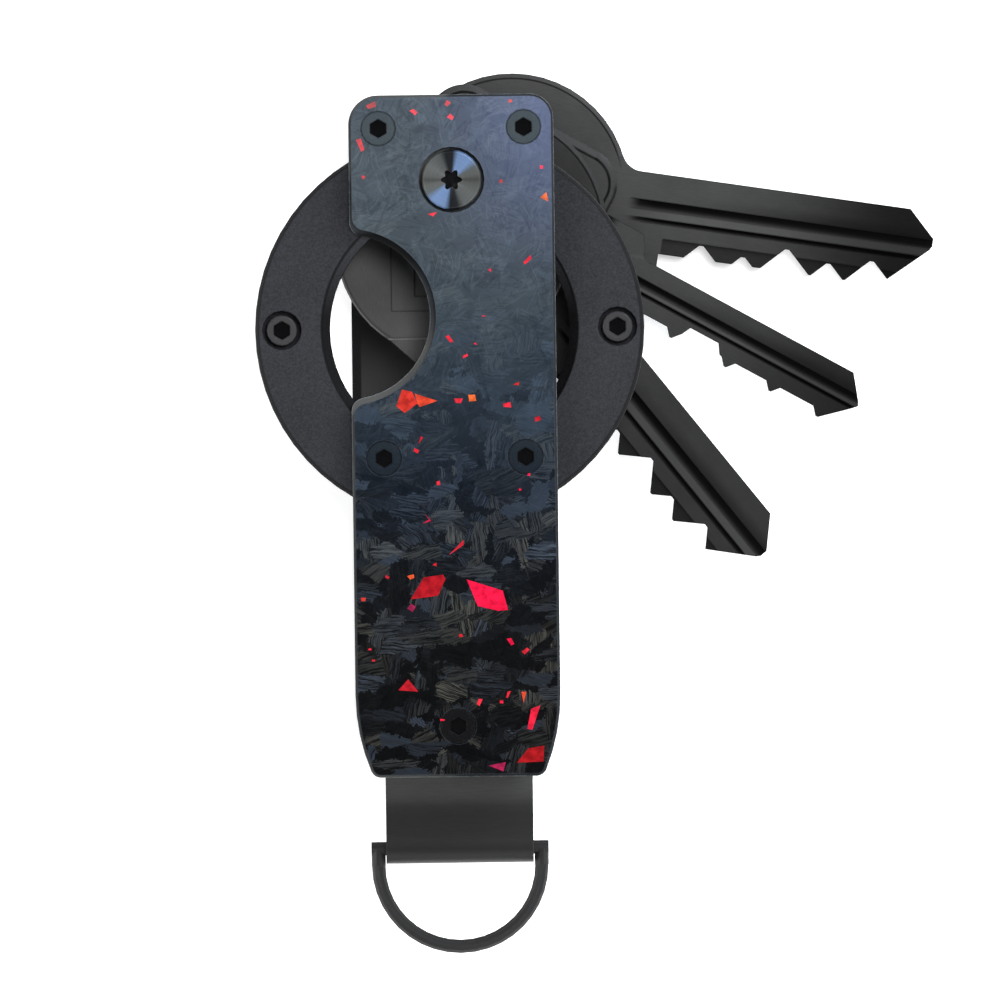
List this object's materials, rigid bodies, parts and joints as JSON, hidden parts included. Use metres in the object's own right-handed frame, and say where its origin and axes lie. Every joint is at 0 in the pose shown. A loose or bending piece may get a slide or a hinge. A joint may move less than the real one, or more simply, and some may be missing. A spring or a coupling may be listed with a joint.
{
  "type": "key organiser",
  "caption": "Folding key organiser: flat keys turn on a pivot between two plates, under a round tracker-tag holder, with a D-ring on a folded strip.",
  "frame": {"origin": "on the pivot axis, at the flat outer end of the pivot sleeve, flush with the outer back face", "axes": "+Z out of the front cover, +Y along the body towards the pivot end, +X to the right of somebody looking at the front cover"},
  "size_m": [0.0812, 0.1052, 0.0232],
  "materials": {
    "forged_carbon": "satin lacquered forged carbon with coloured foil chips",
    "frame_metal": "satin black anodised",
    "ring_metal": "fine matt charcoal anodised",
    "screw_steel": "black oxide",
    "pivot_steel": "turned, dark polished",
    "washer_bronze": "plain",
    "washer_steel": "plain spring steel",
    "key_metal": "satin dark grey coated",
    "strip_metal": "satin black",
    "d_ring_metal": "satin black"
  },
  "bodies": {
    "chassis": {"front_cover": "forged_carbon", "back_cover": "forged_carbon", "front_frame": "frame_metal", "back_frame": "frame_metal", "front_screw_top_left": "screw_steel", "front_screw_top_right": "screw_steel", "front_screw_middle_left": "screw_steel", "front_screw_middle_right": "screw_steel", "front_screw_bottom": "screw_steel", "back_screw_top_left": "screw_steel", "back_screw_top_right": "screw_steel", "back_screw_middle_left": "screw_steel", "back_screw_middle_right": "screw_steel", "back_screw_bottom": "screw_steel", "pivot_sleeve": "pivot_steel", "pivot_screw": "pivot_steel", "friction_washer_1": "washer_bronze", "friction_washer_2": "washer_bronze", "friction_washer_3": "washer_bronze", "friction_washer_4": "washer_bronze", "wave_washer": "washer_steel", "tag_ring_front": "ring_metal", "tag_ring_rear": "ring_metal", "ring_screw_left": "screw_steel", "ring_screw_right": "screw_steel", "spacer_rear": "frame_metal", "spacer_tongue": "frame_metal", "spacer_front": "frame_metal", "loop_strip": "strip_metal"},
    "top_key": {"key_top": "key_metal"},
    "middle_key": {"key_middle": "key_metal"},
    "lower_key": {"key_lower": "key_metal"},
    "folded_key": {"key_folded": "key_metal"},
    "hanger": {"d_ring": "d_ring_metal"}
  },
  "joints": [
    {"name": "key_top_swing", "type": "hinge", "parent": "chassis", "child": "top_key", "pos_m": [0, 0, 0.0036], "axis": [0, 0, 1], "range_deg": [-81.3, 98.7]},
    {"name": "key_middle_swing", "type": "hinge", "parent": "chassis", "child": "middle_key", "pos_m": [0, 0, 0.0061], "axis": [0, 0, 1], "range_deg": [-60.9, 119.1]},
    {"name": "key_lower_swing", "type": "hinge", "parent": "chassis", "child": "lower_key", "pos_m": [0, 0, 0.0086], "axis": [0, 0, 1], "range_deg": [-38.5, 141.5]},
    {"name": "key_folded_swing", "type": "hinge", "parent": "chassis", "child": "folded_key", "pos_m": [0, 0, 0.0111], "axis": [0, 0, 1], "range_deg": [0, 180]},
    {"name": "d_ring_swing", "type": "hinge", "parent": "chassis", "child": "hanger", "pos_m": [0, -0.0797, 0.0116], "axis": [1, 0, 0], "range_deg": [-125, 125]}
  ]
}
